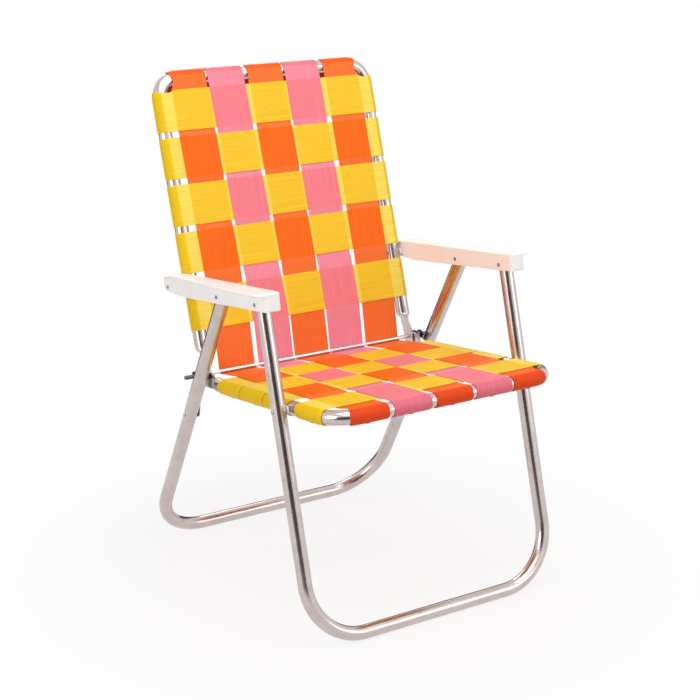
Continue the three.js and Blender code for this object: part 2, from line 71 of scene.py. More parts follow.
# Places across the chair, from its middle
BACK_HALF = 0.226
SEAT_HALF = 0.228
SEAT_PLATE = 0.2303
LEG_HALF = 0.258
ARM_INNER = 0.2423
ARM_OUTER = 0.2737
LINK_INNER = 0.2425
LINK_OUTER = 0.245
SIDES = {"left": 1, "right": -1}

# Frames in side view, and the bends of their tubes
BACK_RECLINE = math.radians(17.4)
BACK_ABOVE_ARM = 0.380
ROD_BELOW_ARM = 0.169
ROD_FORWARD = 0.0073
SEAT_REACH = 0.309
SEAT_RISE = math.radians(3.7)
RAIL_DROP = 0.015
SEAT_OVERHANG = 0.132
LEG_END = 0.008
BACK_BEND = 0.038
SEAT_BEND = 0.049
LEG_BEND = 0.105

# Tube ends: pressed flat on the rod, or sawn off inside the armrests
PLATE_TIP = 0.015
PLATE_ROUND = 0.009
PLATE_T = 0.004
BACK_PLATE_TALL = 0.027
SEAT_PLATE_TALL = 0.033
SEAT_PLATE_OUT = 0.007
TIP_SHARE = 0.5  # of the plate's height, left at its very tip
NECK_TALL = 0.0245
NECK_SHARE = 0.4  # of the plate's shift, left at the neck
CRIMP = 0.011
CRIMP_END = 0.063
ROUND_POWER = 2  # of a section's outline
PLATE_POWER = 5  # flatter, with rounded corners
SAWN_EDGE = 0.0004
BORE_DEPTH = 0.03

# Armrests
ARM_SLOPE = math.radians(7.25)
ARM_FRONT = 0.3575
ARM_REAR = -0.019
ARM_TOP = 0.0182
ARM_CREST = 0.035
ARM_CREST_TOP = 0.0228
ARM_REAR_TOP = 0.014
ARM_DEEP = 0.0135
ARM_RISE = 0.0052
ARM_RISE_LENGTH = 0.05
ARM_WALL = 0.0025
ARM_PLATE = 0.004
ARM_LIP = 0.0145
ARM_LIP_CORNER = 0.012
ARM_FLARE = 1.15  # how fast the top plate widens
ARM_CORNER = 0.008
ARM_EDGE = 0.0026
ARM_BRIM = 0.0012
ARM_FOOT = 0.0008
ARM_SAMPLE = 0.2  # its outline here gives the surface coordinates

# Hinge rings, links, rod thread and strap screws
SPACER_R = 0.010
SPACER_CHAMFER = 0.0006
BUSH_R = 0.006
BUSH_LENGTH = 0.004
BUSH_CHAMFER = 0.0008
RETAINER_R = 0.009
RETAINER_LENGTH = 0.006
RETAINER_CHAMFER = 0.001
WASHER_CHAMFER = 0.0004
CHAMFER_ROUND = 0.3  # of a chamfer, to its bulging middle
LINK_HALF = 0.008
LINK_BEVEL = 0.0004
THREAD_LENGTH = 0.022
THREAD_STEP = 0.0002
THREAD_PITCH = 0.001
THREAD_DEPTH = 0.00025
THREAD_TAPER = 0.0008
SCREW_ANGLE = math.radians(264)  # round the tube, from the run to the face
SCREW_PROFILE = ((0.0042, 0.0), (0.0044, 0.0002), (0.0040, 0.0004), (0.0028, 0.0005), (0.0012, 0.0006))
TURNED_R = 0.005  # for a turned piece's surface coordinates
HAIR = 0.0001  # keeps two points apart

# Straps: row places run from the middle of the frame's bar
COLUMN_COLOURS = ["orange", "pink", "orange", "pink", "orange"]
COLUMNS = range(len(COLUMN_COLOURS))
COLUMN_PITCH = 0.084
COLUMN_MIDDLES = [(column - COLUMNS[-1] / 2) * COLUMN_PITCH for column in COLUMNS]
UPPER_ROWS = 4
BACK_ROW_FIRST = 0.062
BACK_ROW_PITCH = 0.0873
LAST_ROW_BELOW_ARM = 0.050
BACK_ROWS = [BACK_ROW_FIRST + i * BACK_ROW_PITCH for i in range(UPPER_ROWS)]
BACK_ROWS.append(BACK_ABOVE_ARM + LAST_ROW_BELOW_ARM)
REAR_SEAT_ROWS = 3
SEAT_ROW_AHEAD = 0.0635
SEAT_ROW_BEHIND = 0.0435
SEAT_ROW_PITCH = 0.0818
SEAT_ROWS = [SEAT_OVERHANG - SEAT_ROW_AHEAD]
SEAT_ROWS += [SEAT_OVERHANG + SEAT_ROW_BEHIND + i * SEAT_ROW_PITCH for i in range(REAR_SEAT_ROWS)]
STRAP_WRAP = math.radians(182)
STRAP_TAIL = 0.024
STRAP_RAMP = 0.0002  # past a crossing, before the level changes
LEVEL_OUT = 0.02  # past the last row, to a level strap
BEND_FADE = 0.03  # from a tube, over which a strap takes up its bend

# Half of a strap's outline: share of its half width, and share of its thickness there
STRAP_OUTLINE = [(0, 1), (0.25, 1), (0.5, 1), (0.75, 1), (0.93, 1), (0.985, 0.8), (1, 0.35)]

# Shifts of the lengthwise straps from even places: on the top bar, the rod and the front bar
TOP_SHIFTS = [-0.0007, -0.0049, -0.0033, -0.0062, -0.002]
ROD_SHIFTS = [0.006, 0.0068, 0.0024, -0.0024, -0.0035]
FRONT_SHIFTS = [0, 0.0023, 0.0046, 0.0046, 0.001]

# Tone of a strap by what lies against it: nothing, another strap, or a tube. The tone sets painted light and
# shade: a lone strap is painted paler, as light shining through it from behind, and a strap round a tube is
# painted darker, as shade
SINGLE = 0.0
CROSSED = 0.5
WRAP_SHADE = 1.0
# Round the top bar the painted shade is lighter than round the other tubes
TOP_WRAP_SHADE = 0.7  # round the top bar
# Angle over which the painted shade comes in as a strap turns round a tube
SHADE_TURN = math.radians(25)  # round a tube, over which the tone changes

# Facets
TUBE_SIDES = 48
TURNED_SIDES = 40
ROD_SIDES = 32
SCREW_SIDES = 20
PLATE_STEPS = 6
CRIMP_STEPS = 8
BEND_STEPS = 28
WRAP_STEPS = 30
TAIL_STEPS = 8
ROD_STEPS = 12
DOME_STEPS = 8
LINK_STEPS = 16
ARM_STEPS = 60
ARM_END_STEPS = 8
FILLET_STEPS = 5
BRIM_STEPS = 3
STRAIGHT_SHARES = (0.004, 0.2, 0.4, 0.6, 0.8, 0.996)
STRAP_STEP = 0.003
EDGE_BLUR = 0.0002

# Angles past which an edge stays sharp, in degrees
SHARP = 35
ARM_SHARP = 40
TUBE_SHARP = 50
STRAP_SHARP = 60
ROD_SHARP = 70


# Side view: points and directions are (y, z)

def node_middle(node):
    low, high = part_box(node)
    middle = (low + high) / 2
    return Vector((middle.y, middle.z))


def unit(angle_from_up):
    return Vector((math.sin(angle_from_up), math.cos(angle_from_up)))


def quarter_turn(direction):
    return Vector((-direction.y, direction.x))


arm_pivot = node_middle("arm_rear_rivet_left")
front_pivot = node_middle("arm_front_rivet_left")
rear_pivot = node_middle("arm_middle_rivet_left")
rod = node_middle("cross_rod")
seat_pivot = node_middle("seat_pivot_rivet_left")
link_pivot = node_middle("link_rivet_left")

back_up = unit(BACK_RECLINE)
back_face = quarter_turn(back_up)
rail_tilt = SEAT_RISE + math.asin(RAIL_DROP / SEAT_REACH)
seat_rear = Vector((math.cos(rail_tilt), -math.sin(rail_tilt)))
seat_face = quarter_turn(seat_rear)
rail_reach = math.sqrt(SEAT_REACH**2 - RAIL_DROP**2)
front_down = (seat_pivot - front_pivot).normalized()
rear_down = (link_pivot - rear_pivot).normalized()
arm_up = unit(ARM_SLOPE)
arm_forward = quarter_turn(arm_up)
back_bar = arm_pivot + back_up * BACK_ABOVE_ARM
seat_bar = seat_pivot - seat_rear * SEAT_OVERHANG
back_reach = BACK_ABOVE_ARM + ROD_BELOW_ARM
seat_reach = SEAT_OVERHANG + rail_reach


def placer(origin, along, face):
    """A function from (across, along, face) to a point of the chair."""
    def place(across, far, out):
        side = origin + along * far + face * out
        return Vector((across, side.x, side.y))
    return place


# Shares and curves

def between(start, end, share):
    return start + (end - start) * share


def shares(steps):
    """Even shares from 0 to 1."""
    return [k / steps for k in range(steps + 1)]


def smooth(share):
    share = min(max(share, 0.0), 1.0)
    return share * share * (3 - 2 * share)


def round_in(far, radius):
    """How far a rounded corner draws a side in, at a distance from the end."""
    if far >= radius:
        return 0
    return radius - math.sqrt(max(radius ** 2 - (radius - far) ** 2, 0))


def arc(middle, radius, start, end, steps):
    angles = [between(start, end, share) for share in shares(steps)]
    return [middle + Vector((math.cos(angle), math.sin(angle))) * radius for angle in angles]


def path_lengths(points):
    lengths = [0.0]
    for before, after in zip(points, points[1:]):
        lengths.append(lengths[-1] + (after - before).length)
    return lengths


# Meshes

def add_object(name, data):
    thing = bpy.data.objects.new(name, data)
    bpy.context.collection.objects.link(thing)
    return thing


def new_object(name, points, faces, uvs=None, sharp=SHARP):
    mesh = bpy.data.meshes.new(name)
    mesh.from_pydata([tuple(p) for p in points], [], faces)
    if uvs:
        layer = mesh.uv_layers.new(name="Lengthwise")
        for polygon, corners in zip(mesh.polygons, uvs):
            for loop, corner in zip(polygon.loop_indices, corners):
                layer.data[loop].uv = corner
    mesh.validate()
    mesh.shade_smooth()
    mesh.set_sharp_from_angle(angle=math.radians(sharp))
    return add_object(name, mesh)


def facing_out(piece):
    """Turns the skin's faces to the outside."""
    work = bmesh.new()
    work.from_mesh(piece.data)
    bmesh.ops.recalc_face_normals(work, faces=work.faces)
    work.to_mesh(piece.data)
    work.free()
    return piece


def loft(name, rings, around, lengthwise, sharp=SHARP):
    """Joins equal rings into a closed skin; around and lengthwise are its surface coordinates."""
    count = len(rings[0])
    points = [p for ring in rings for p in ring]
    faces = []
    uvs = []
    for i in range(len(rings) - 1):
        for k in range(count):
            after = (k + 1) % count
            faces.append((i * count + k, i * count + after, (i + 1) * count + after, (i + 1) * count + k))
            u0, u1 = around[k], around[k + 1]
            v0, v1 = lengthwise[i], lengthwise[i + 1]
            uvs.append(((u0, v0), (u1, v0), (u1, v1), (u0, v1)))
    last = (len(rings) - 1) * count
    faces.append(tuple(reversed(range(count))))
    uvs.append([(around[k], lengthwise[0]) for k in reversed(range(count))])
    faces.append(tuple(range(last, last + count)))
    uvs.append([(around[k], lengthwise[-1]) for k in range(count)])
    return facing_out(new_object(name, points, faces, uvs, sharp))


def finish_piece(piece, body, nodes, look):
    piece.data.materials.append(MATERIALS[look])
    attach(piece, body)
    if nodes:
        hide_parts(*nodes)


# Bent tubes: a station is the size and shift of a tube's section at a distance from its free end

def power_ring(middle, wide_axis, tall_axis, station):
    """A round section, or with a higher power a squarer one."""
    ring = []
    for k in range(TUBE_SIDES):
        angle = 2 * math.pi * k / TUBE_SIDES
        c, s = math.cos(angle), math.sin(angle)
        a = math.copysign(abs(c) ** (2 / station["power"]), c) * station["wide"]
        b = math.copysign(abs(s) ** (2 / station["power"]), s) * station["tall"]
        ring.append(middle + wide_axis * a + tall_axis * b)
    return ring


def round_station(far, radius=TUBE_R):
    return {"far": far, "wide": radius, "tall": radius, "power": ROUND_POWER, "x": 0, "out": 0}


def station_between(a, b, share):
    return {key: between(a[key], b[key], share) for key in a}


def plate_stations(tall, plate_x, plate_out):
    """A tube end pressed flat on the rod, from its tip to the end of the crimp."""
    plate = {"far": 0, "wide": PLATE_T / 2, "tall": tall / 2, "power": PLATE_POWER}
    plate.update(x=plate_x, out=plate_out)
    neck = {**plate, "tall": NECK_TALL / 2, "out": plate_out * NECK_SHARE}
    crimp_start = CRIMP_END - CRIMP
    stations = []
    for share in shares(PLATE_STEPS):
        height = math.sqrt(1 - (1 - share) ** 2 * (1 - TIP_SHARE ** 2))
        stations.append({**plate, "far": PLATE_ROUND * share, "tall": plate["tall"] * height})
    for share in shares(PLATE_STEPS):
        step = station_between(plate, neck, smooth(share))
        stations.append({**step, "far": between(PLATE_TIP * 2, crimp_start, share)})
    for share in shares(CRIMP_STEPS)[1:]:
        step = station_between(neck, round_station(0), smooth(share))
        stations.append({**step, "far": between(crimp_start, CRIMP_END, share)})
    return stations


def open_end_stations():
    """A sawn tube end with a little of its bore."""
    bore = TUBE_R - TUBE_WALL
    return [
        round_station(BORE_DEPTH, bore),
        round_station(SAWN_EDGE, bore),
        round_station(0, TUBE_R - SAWN_EDGE),
        round_station(SAWN_EDGE),
    ]


def u_tube(name, place, half, length, bend, stations):
    """A tube bent into a U; place measures along from its free ends, which both have the stations."""
    origin = place(0, 0, 0)
    wide_x = place(1, 0, 0) - origin
    run = place(0, 1, 0) - origin
    tall = place(0, 0, 1) - origin
    leg = []
    for station in stations:
        leg.append((half + station["x"], station["far"], station["out"], 0.0, station))
    start, end = stations[-1]["far"], length - bend
    for share in STRAIGHT_SHARES:
        leg.append((half, between(start, end, share), 0, 0.0, round_station(0)))
    for share in shares(BEND_STEPS):
        turn = math.pi / 2 * share
        across = half - bend * (1 - math.cos(turn))
        leg.append((across, length - bend * (1 - math.sin(turn)), 0, turn, round_station(0)))
    rings = []
    middles = []
    for side, order in ((-1, leg), (1, leg[::-1])):
        for across, far, out, turn, station in order:
            middle = place(side * across, far, out)
            normal = wide_x * -side * math.cos(turn) - run * math.sin(turn)
            rings.append(power_ring(middle, normal, tall, station))
            middles.append(middle)
    around = [2 * math.pi * TUBE_R * share for share in shares(TUBE_SIDES)]
    return loft(name, rings, around, path_lengths(middles), TUBE_SHARP)


def to_floor(start, direction):
    """Distance from a side view point to where a tube lies on the floor."""
    return (start.y - TUBE_R) / -direction.y


def build_frames():
    """The four bent tubes, each measured from its free ends to its bar."""
    back_end = rod - back_face * ROD_FORWARD - back_up * PLATE_TIP
    seat_end = seat_pivot + seat_rear * (rail_reach + PLATE_TIP)
    front_end = front_pivot - front_down * LEG_END
    rear_end = rear_pivot - rear_down * LEG_END
    back_plates = plate_stations(BACK_PLATE_TALL, 0, ROD_FORWARD)
    seat_plates = plate_stations(SEAT_PLATE_TALL, SEAT_PLATE - SEAT_HALF, SEAT_PLATE_OUT)
    kinds = (
        ("back_tube", "back_frame", "back", placer(back_end, back_up, back_face),
         BACK_HALF, PLATE_TIP + back_reach, BACK_BEND, back_plates),
        ("seat_tube", "seat_frame", "seat", placer(seat_end, -seat_rear, seat_face),
         SEAT_HALF, PLATE_TIP + seat_reach, SEAT_BEND, seat_plates),
        ("front_leg_tube", "front_legs", "front_leg_frame",
         placer(front_end, front_down, quarter_turn(front_down)),
         LEG_HALF, to_floor(front_end, front_down), LEG_BEND, open_end_stations()),
        ("rear_leg_tube", "rear_legs", "rear_leg_frame",
         placer(rear_end, rear_down, quarter_turn(rear_down)),
         LEG_HALF, to_floor(rear_end, rear_down), LEG_BEND, open_end_stations()),
    )
    for name, node, body, place, half, length, bend, stations in kinds:
        tube = u_tube(name, place, half, length, bend, stations)
        finish_piece(tube, body, [node], "polished tube")


# Straps

# edge_tone is a strap's tone next to its bar, painted paler light where it lies alone; wrap_tone is the
# painted shade where it wraps the bar
WEAVES = {
    "back": {"bar": back_bar, "run": -back_up, "face": back_face, "half": BACK_HALF, "bend": BACK_BEND,
             "rows": BACK_ROWS, "row_width": STRAP_W, "reach": back_reach, "rod_out": ROD_FORWARD,
             "shifts": TOP_SHIFTS, "edge_tone": SINGLE, "wrap_tone": TOP_WRAP_SHADE},
    "seat": {"bar": seat_bar, "run": seat_rear, "face": seat_face, "half": SEAT_HALF, "bend": SEAT_BEND,
             "rows": SEAT_ROWS, "row_width": SEAT_ROW_W, "reach": seat_reach, "rod_out": RAIL_DROP,
             "shifts": FRONT_SHIFTS, "edge_tone": CROSSED, "wrap_tone": WRAP_SHADE},
}


def level_at(far, middles, overs, width, start, end):
    """Height of a woven strap over its middle surface at a distance along it."""
    reach = width / 2 + STRAP_RAMP
    knots = [(start, 0.0)]
    for middle, over in zip(middles, overs):
        knots.append((middle - reach, over * WEAVE_OFFSET))
        knots.append((middle + reach, over * WEAVE_OFFSET))
    knots.append((end, 0.0))
    for (a, low), (b, high) in zip(knots, knots[1:]):
        if a <= far <= b:
            return between(low, high, smooth((far - a) / (b - a)))
    return 0.0


def crossing_places(length, middles, width):
    """Even places along a strap, with a pair at each edge of the straps that it crosses."""
    places = [length * share for share in shares(round(length / STRAP_STEP))[1:-1]]
    for middle in middles:
        for edge in (middle - width / 2, middle + width / 2):
            places += [edge - EDGE_BLUR, edge + EDGE_BLUR]
    return sorted(places)


def wrap_tones(edge_tone, wrap_tone, wrap):
    """Tones round a tube, from the edge of the face to the end of the wrap: painted shade that deepens as
    the strap turns round the tube.
    """
    turns = [wrap * share for share in shares(WRAP_STEPS)]
    return [between(edge_tone, wrap_tone, smooth(turn / SHADE_TURN)) for turn in turns]


def tone_at(far, middles, width):
    return CROSSED if any(abs(far - middle) < width / 2 for middle in middles) else SINGLE


def ribbon(name, path, tones, width, place):
    """A strap with rounded edges along a path of (p, q), with a tone for each point of it.

    place maps (p, q) and a distance across the strap to a point of the chair.
    """
    outline = [(-share, thick) for share, thick in STRAP_OUTLINE[:0:-1]] + STRAP_OUTLINE
    rings = []
    for i, point in enumerate(path):
        before = path[max(i - 1, 0)]
        after = path[min(i + 1, len(path) - 1)]
        out = quarter_turn((after - before).normalized()) * STRAP_T / 2
        upper = [(point + out * thick, share) for share, thick in outline]
        lower = [(point - out * thick, share) for share, thick in outline]
        rings.append([place(p.x, p.y, share * width / 2) for p, share in upper + lower[::-1]])
    widths = [share * width / 2 for share, thick in outline]
    around = widths + widths[::-1] + widths[:1]
    strap = loft(name, rings, around, path_lengths(path), STRAP_SHARP)
    layer = strap.data.attributes.new("tone", "FLOAT", "POINT")
    layer.data.foreach_set("value", [tone for tone in tones for _ in rings[0]])
    return strap


def row_is_over(row, column):
    return 1 if (row + column) % 2 == 0 else -1


def column_middle(column, weave, far):
    """Place across of a lengthwise strap, laid by hand, at a distance from the frame's bar."""
    share = min(max(far / weave["reach"], 0), 1)
    return COLUMN_MIDDLES[column] + between(weave["shifts"][column], ROD_SHIFTS[column], share)


def bend_turn(far, bend):
    """How far a strap's width has turned with a bend, at a distance from the corner it cuts off."""
    return max(bend - far, 0) / (bend + STRAP_R)


def row_path(weave, row):
    """Points of (across, out) along a row, and its tones there."""
    half = weave["half"]
    overs = [row_is_over(row, column) for column in COLUMNS]
    middles = [column_middle(column, weave, weave["rows"][row]) for column in COLUMNS]
    quarter = math.pi / 2
    left = arc(Vector((-half, 0)), STRAP_R, quarter + STRAP_WRAP, quarter, WRAP_STEPS)
    right = arc(Vector((half, 0)), STRAP_R, quarter, quarter - STRAP_WRAP, WRAP_STEPS)
    from_left = crossing_places(2 * half, [half + middle for middle in middles], STRAP_W)
    places = [far - half for far in from_left]
    flat = [Vector((x, STRAP_R + level_at(x, middles, overs, STRAP_W, -half, half))) for x in places]
    # Round the side rails the strap turns into painted shade
    shaded_wrap = wrap_tones(SINGLE, WRAP_SHADE, STRAP_WRAP)
    tones = shaded_wrap[::-1] + [tone_at(x, middles, STRAP_W) for x in places] + shaded_wrap
    return left + flat + right, tones


def row_place(weave, middle):
    """Maps (across, out) of a row and a distance over its width into the chair, along the tube's bend."""
    on_frame = placer(weave["bar"], weave["run"], weave["face"])
    half, bend = weave["half"], weave["bend"]

    def place(across, out, over_width):
        far = middle + over_width
        turn = bend_turn(far, bend)
        past = abs(across) - half
        on_bend = Vector((half - bend * (1 - math.cos(turn)) + past * math.cos(turn),
                          max(far, bend) - (bend + past) * math.sin(turn)))
        spot = Vector((abs(across), far)).lerp(on_bend, smooth(1 + past / BEND_FADE))
        return on_frame(math.copysign(spot.x, across), spot.y, out)
    return place


def build_rows():
    for body, weave in WEAVES.items():
        for row, middle in enumerate(weave["rows"]):
            path, tones = row_path(weave, row)
            name = f"{body}_row_strap_{row + 1}"
            strap = ribbon(name, path, tones, weave["row_width"], row_place(weave, middle))
            node = f"{body}_row_{row + 1}"
            finish_piece(strap, body, [node], "yellow webbing")
            flat = (weave["row_width"], path_lengths(path)[-1])


def frame_run(weave, column):
    """Side view points and tones of a lengthwise strap on one frame, from its tail to the rod."""
    rows, width = weave["rows"], weave["row_width"]
    edge_tone, wrap_tone = weave["edge_tone"], weave["wrap_tone"]
    overs = [-row_is_over(row, column) for row in range(len(rows))]
    quarter = math.pi / 2
    local = [Vector((STRAP_TAIL * (1 - share), -STRAP_R)) for share in shares(TAIL_STEPS)[:-1]]
    local += arc(Vector((0, 0)), STRAP_R, 3 * quarter, quarter, WRAP_STEPS)
    # The tail and the wrap round the bar take the weave's painted shade
    tones = [wrap_tone] * TAIL_STEPS + wrap_tones(edge_tone, wrap_tone, math.pi)[::-1]
    last = rows[-1] + width / 2
    for far in crossing_places(last, rows, width):
        local.append(Vector((far, STRAP_R + level_at(far, rows, overs, width, 0, last + LEVEL_OUT))))
        tones.append(edge_tone if far < rows[0] - width / 2 else tone_at(far, rows, width))
    start = local[-1]
    end = Vector((weave["reach"], weave["rod_out"] - UNDER_ROD))
    steps = round((end - start).length / STRAP_STEP)
    local += [start.lerp(end, share) for share in shares(steps)[1:-1]]
    tones += [SINGLE] * (steps - 1)
    return [weave["bar"] + weave["run"] * p.x + weave["face"] * p.y for p in local], tones


def column_path(column):
    """Side view points and tones of a whole lengthwise strap, from the top bar to the front."""
    back, back_tones = frame_run(WEAVES["back"], column)
    seat, seat_tones = frame_run(WEAVES["seat"], column)
    behind = math.atan2(-back_face.y, -back_face.x)
    below = math.atan2(-seat_face.y, -seat_face.x)
    turn = arc(rod, UNDER_ROD, behind, below, ROD_STEPS)
    return back + turn + seat[::-1], back_tones + [SINGLE] * len(turn) + seat_tones[::-1]


def column_place(column):
    """Maps a side view point and a distance across the strap into the chair, along the bars' bends."""
    def place(y, z, across):
        point = Vector((y, z))
        above = (point - rod).dot(back_up)
        ahead = (rod - point).dot(seat_rear)
        weave = WEAVES["back" if above > ahead else "seat"]
        far = (point - weave["bar"]).dot(weave["run"])
        x = column_middle(column, weave, far) + across
        half, bend = weave["half"], weave["bend"]
        turn = bend_turn(half - abs(x), bend)
        on_bend = Vector((min(abs(x), half - bend) + (bend - far) * math.sin(turn),
                          bend - (bend - far) * math.cos(turn)))
        spot = Vector((abs(x), far)).lerp(on_bend, smooth(1 - far / BEND_FADE))
        side = point + weave["run"] * (spot.y - far)
        return Vector((math.copysign(spot.x, x), side.x, side.y))
    return place


def build_columns():
    for column, colour in enumerate(COLUMN_COLOURS):
        path, tones = column_path(column)
        strap = ribbon(f"long_strap_{column + 1}", path, tones, STRAP_W, column_place(column))
        strap.data.materials.append(MATERIALS[f"{colour} webbing"])
        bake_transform(strap)
        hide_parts(f"back_column_{column + 1}", f"seat_column_{column + 1}")
        path_lengths(path)[-1]


# Turned pieces

def ring_across(x, centre, radii):
    """Points round a line across the chair through a side view point, one for each radius."""
    ring = []
    for k, radius in enumerate(radii):
        angle = 2 * math.pi * k / len(radii)
        ring.append(Vector((x, centre.x + radius * math.cos(angle), centre.y + radius * math.sin(angle))))
    return ring


def turned(name, profile, side, point):
    """A profile of (radius, across) turned about a line across the chair through a side view point."""
    rings = [ring_across(side * across, point, [radius] * TURNED_SIDES) for radius, across in profile]
    around = [2 * math.pi * TURNED_R * share for share in shares(TURNED_SIDES)]
    return loft(name, rings, around, path_lengths([Vector(p) for p in profile]))


def rivet_end(face, outward):
    """Profile of one end of a rivet, from near the middle of its low domed head to the shank."""
    base = face + outward * FIT
    profile = [(RIVET_R, face), (RIVET_HEAD_R, base)]
    for share in shares(DOME_STEPS)[1:]:
        angle = math.pi / 2 * share
        radius = max(RIVET_HEAD_R * math.cos(angle), HAIR)
        profile.append((radius, base + outward * RIVET_HEAD_H * math.sin(angle)))
    return profile[::-1]


def blunt_end(across):
    """Profile of a shank's plain end, from near its middle to its edge."""
    return [(HAIR, across), (RIVET_R, across)]


def ring_profile(bore, radius, start, end, chamfer):
    """Profile of a ring whose outer edges have rounded chamfers."""
    bulge = chamfer * CHAMFER_ROUND
    return [(bore, start), (radius - chamfer, start), (radius - bulge, start + bulge),
            (radius, start + chamfer), (radius, end - chamfer),
            (radius - bulge, end - bulge), (radius - chamfer, end), (bore, end)]


def build_rivets():
    leg_outer = LEG_HALF + TUBE_R
    leg_inner = LEG_HALF - TUBE_R
    rail_outer = SEAT_HALF + TUBE_R
    through = rivet_end(ARM_INNER, -1) + rivet_end(ARM_OUTER, 1)[::-1]
    rear = rivet_end(BACK_HALF - TUBE_R, -1) + rivet_end(ARM_OUTER, 1)[::-1]
    seat_side = blunt_end(rail_outer + FIT) + rivet_end(leg_outer, 1)[::-1]
    pin = rivet_end(SEAT_HALF - TUBE_R, -1) + blunt_end(rail_outer - FIT)[::-1]
    link = blunt_end(leg_inner) + rivet_end(leg_outer, 1)[::-1]
    kinds = (
        ("arm_rear_rivet", rear, arm_pivot, "arms"),
        ("arm_middle_rivet", through, rear_pivot, "arms"),
        ("arm_front_rivet", through, front_pivot, "arms"),
        ("seat_pivot_rivet", seat_side, seat_pivot, "front_leg_frame"),
        ("rail_pin", pin, seat_pivot, "seat"),
        ("link_rivet", link, link_pivot, "rear_leg_frame"),
    )
    for stem, profile, point, body in kinds:
        look = "rivet" if body == "arms" else "bright rivet"
        for name, side in SIDES.items():
            piece = turned(f"{stem}_head_{name}", profile, side, point)
            finish_piece(piece, body, [f"{stem}_{name}"], look)


def build_washers():
    upright = BACK_HALF + TUBE_R + FIT
    rail_strap = SEAT_HALF + TUBE_R + FIT + STRAP_T + FIT
    leg_inner = LEG_HALF - TUBE_R
    arm_washer = ring_profile(RIVET_R, WASHER_R, upright, ARM_INNER - FIT, WASHER_CHAMFER)
    seat_washer = ring_profile(RIVET_R, WASHER_R, rail_strap, leg_inner - FIT, WASHER_CHAMFER)
    for name, side in SIDES.items():
        piece = turned(f"arm_washer_ring_{name}", arm_washer, side, arm_pivot)
        finish_piece(piece, "arms", [f"arm_washer_{name}"], "white plastic")
        piece = turned(f"seat_washer_ring_{name}", seat_washer, side, seat_pivot)
        finish_piece(piece, "front_leg_frame", [], "white plastic")


def rod_piece(name, places, radius_at):
    """A stretch of the cross rod; radius_at gives its radius at a place across and a share of a turn."""
    rings = []
    for x in places:
        rings.append(ring_across(x, rod, [radius_at(x, k / ROD_SIDES) for k in range(ROD_SIDES)]))
    around = [2 * math.pi * ROD_R * share for share in shares(ROD_SIDES)]
    return loft(name, rings, around, [x - places[0] for x in places], ROD_SHARP)


def thread_radius(x, turn):
    """Shallow screw thread that tapers at the rod's end."""
    phase = (x / THREAD_PITCH - turn) % 1.0
    return ROD_R - THREAD_DEPTH * abs(2 * phase - 1) - max(THREAD_TAPER - (ROD_END - abs(x)), 0)


def build_rod():
    bare = ROD_END - THREAD_LENGTH
    middle = rod_piece("hinge_rod", [-bare, 0, bare], lambda x, turn: ROD_R)
    finish_piece(middle, "back", ["cross_rod"], "bright rod")
    count = round(THREAD_LENGTH / THREAD_STEP)
    for name, side in SIDES.items():
        places = sorted(side * (bare + THREAD_STEP * k) for k in range(count + 1))
        end = rod_piece(f"hinge_rod_thread_{name}", places, thread_radius)
        finish_piece(end, "back", [], "screw thread")


def build_hinge_rings():
    """Rings stacked outwards on the rod; the link turns between the spacer and the bush."""
    spacer_start = SEAT_PLATE + PLATE_T / 2 + FIT
    bush_start = LINK_OUTER + FIT
    bush_end = bush_start + BUSH_LENGTH
    retainer_start = bush_end + FIT
    retainer_end = retainer_start + RETAINER_LENGTH
    kinds = (
        ("hinge_spacer", "black", SPACER_R, spacer_start, LINK_INNER - FIT, SPACER_CHAMFER),
        ("rod_bush", "grey", BUSH_R, bush_start, bush_end, BUSH_CHAMFER),
        ("rod_retainer", "black", RETAINER_R, retainer_start, retainer_end, RETAINER_CHAMFER),
    )
    for stem, colour, radius, start, end, chamfer in kinds:
        profile = ring_profile(ROD_R + FIT, radius, start, end, chamfer)
        for name, side in SIDES.items():
            piece = turned(f"{stem}_ring_{name}", profile, side, rod)
            finish_piece(piece, "back", [f"{stem}_{name}"], f"{colour} plastic")


# Hinge links

def link_strip(name, side):
    """A flat strip with round ends and bevelled edges, from the rod to the rear leg."""
    run = link_pivot - rod
    along = run.normalized()
    face = quarter_turn(along)
    reach = run.length / LINK_HALF
    outline = arc(Vector((0, 0)), 1, math.pi / 2, 3 * math.pi / 2, LINK_STEPS)
    outline += arc(Vector((reach, 0)), 1, -math.pi / 2, math.pi / 2, LINK_STEPS)
    layers = ((LINK_INNER, LINK_BEVEL), (LINK_INNER + LINK_BEVEL, 0),
              (LINK_OUTER - LINK_BEVEL, 0), (LINK_OUTER, LINK_BEVEL))
    rings = []
    for across, inset in layers:
        radius = LINK_HALF - inset
        ring = []
        for p in outline:
            end = 0 if p.x <= 0 else reach
            spot = rod + along * (end * LINK_HALF + (p.x - end) * radius) + face * p.y * radius
            ring.append(Vector((side * across, spot.x, spot.y)))
        rings.append(ring)
    around = path_lengths(rings[1] + rings[1][:1])
    return loft(name, rings, around, path_lengths([ring[0] for ring in rings]))


def build_links():
    for name, side in SIDES.items():
        strip = link_strip(f"link_strip_{name}", side)
        finish_piece(strip, "links", [f"hinge_link_{name}"], "plated strip")


# Screws that hold the strap ends to the tubes

def screw_heads(spots):
    """Points and faces of low screw heads, one for each (centre of the tube, middle of the head)."""
    points, faces = [], []
    for centre, middle in spots:
        normal = (middle - centre).normalized()
        first = normal.orthogonal().normalized()
        second = normal.cross(first)
        base = len(points)
        for radius, height in SCREW_PROFILE:
            for k in range(SCREW_SIDES):
                angle = 2 * math.pi * k / SCREW_SIDES
                ray = first * math.cos(angle) + second * math.sin(angle)
                points.append(middle + normal * height + ray * radius)
        top = len(points) - SCREW_SIDES
        for low in range(base, top, SCREW_SIDES):
            high = low + SCREW_SIDES
            for k in range(SCREW_SIDES):
                after = (k + 1) % SCREW_SIDES
                faces.append((low + k, low + after, high + after, high + k))
        faces.append(tuple(range(base, base + SCREW_SIDES))[::-1])
        faces.append(tuple(range(top, top + SCREW_SIDES)))
    return points, faces


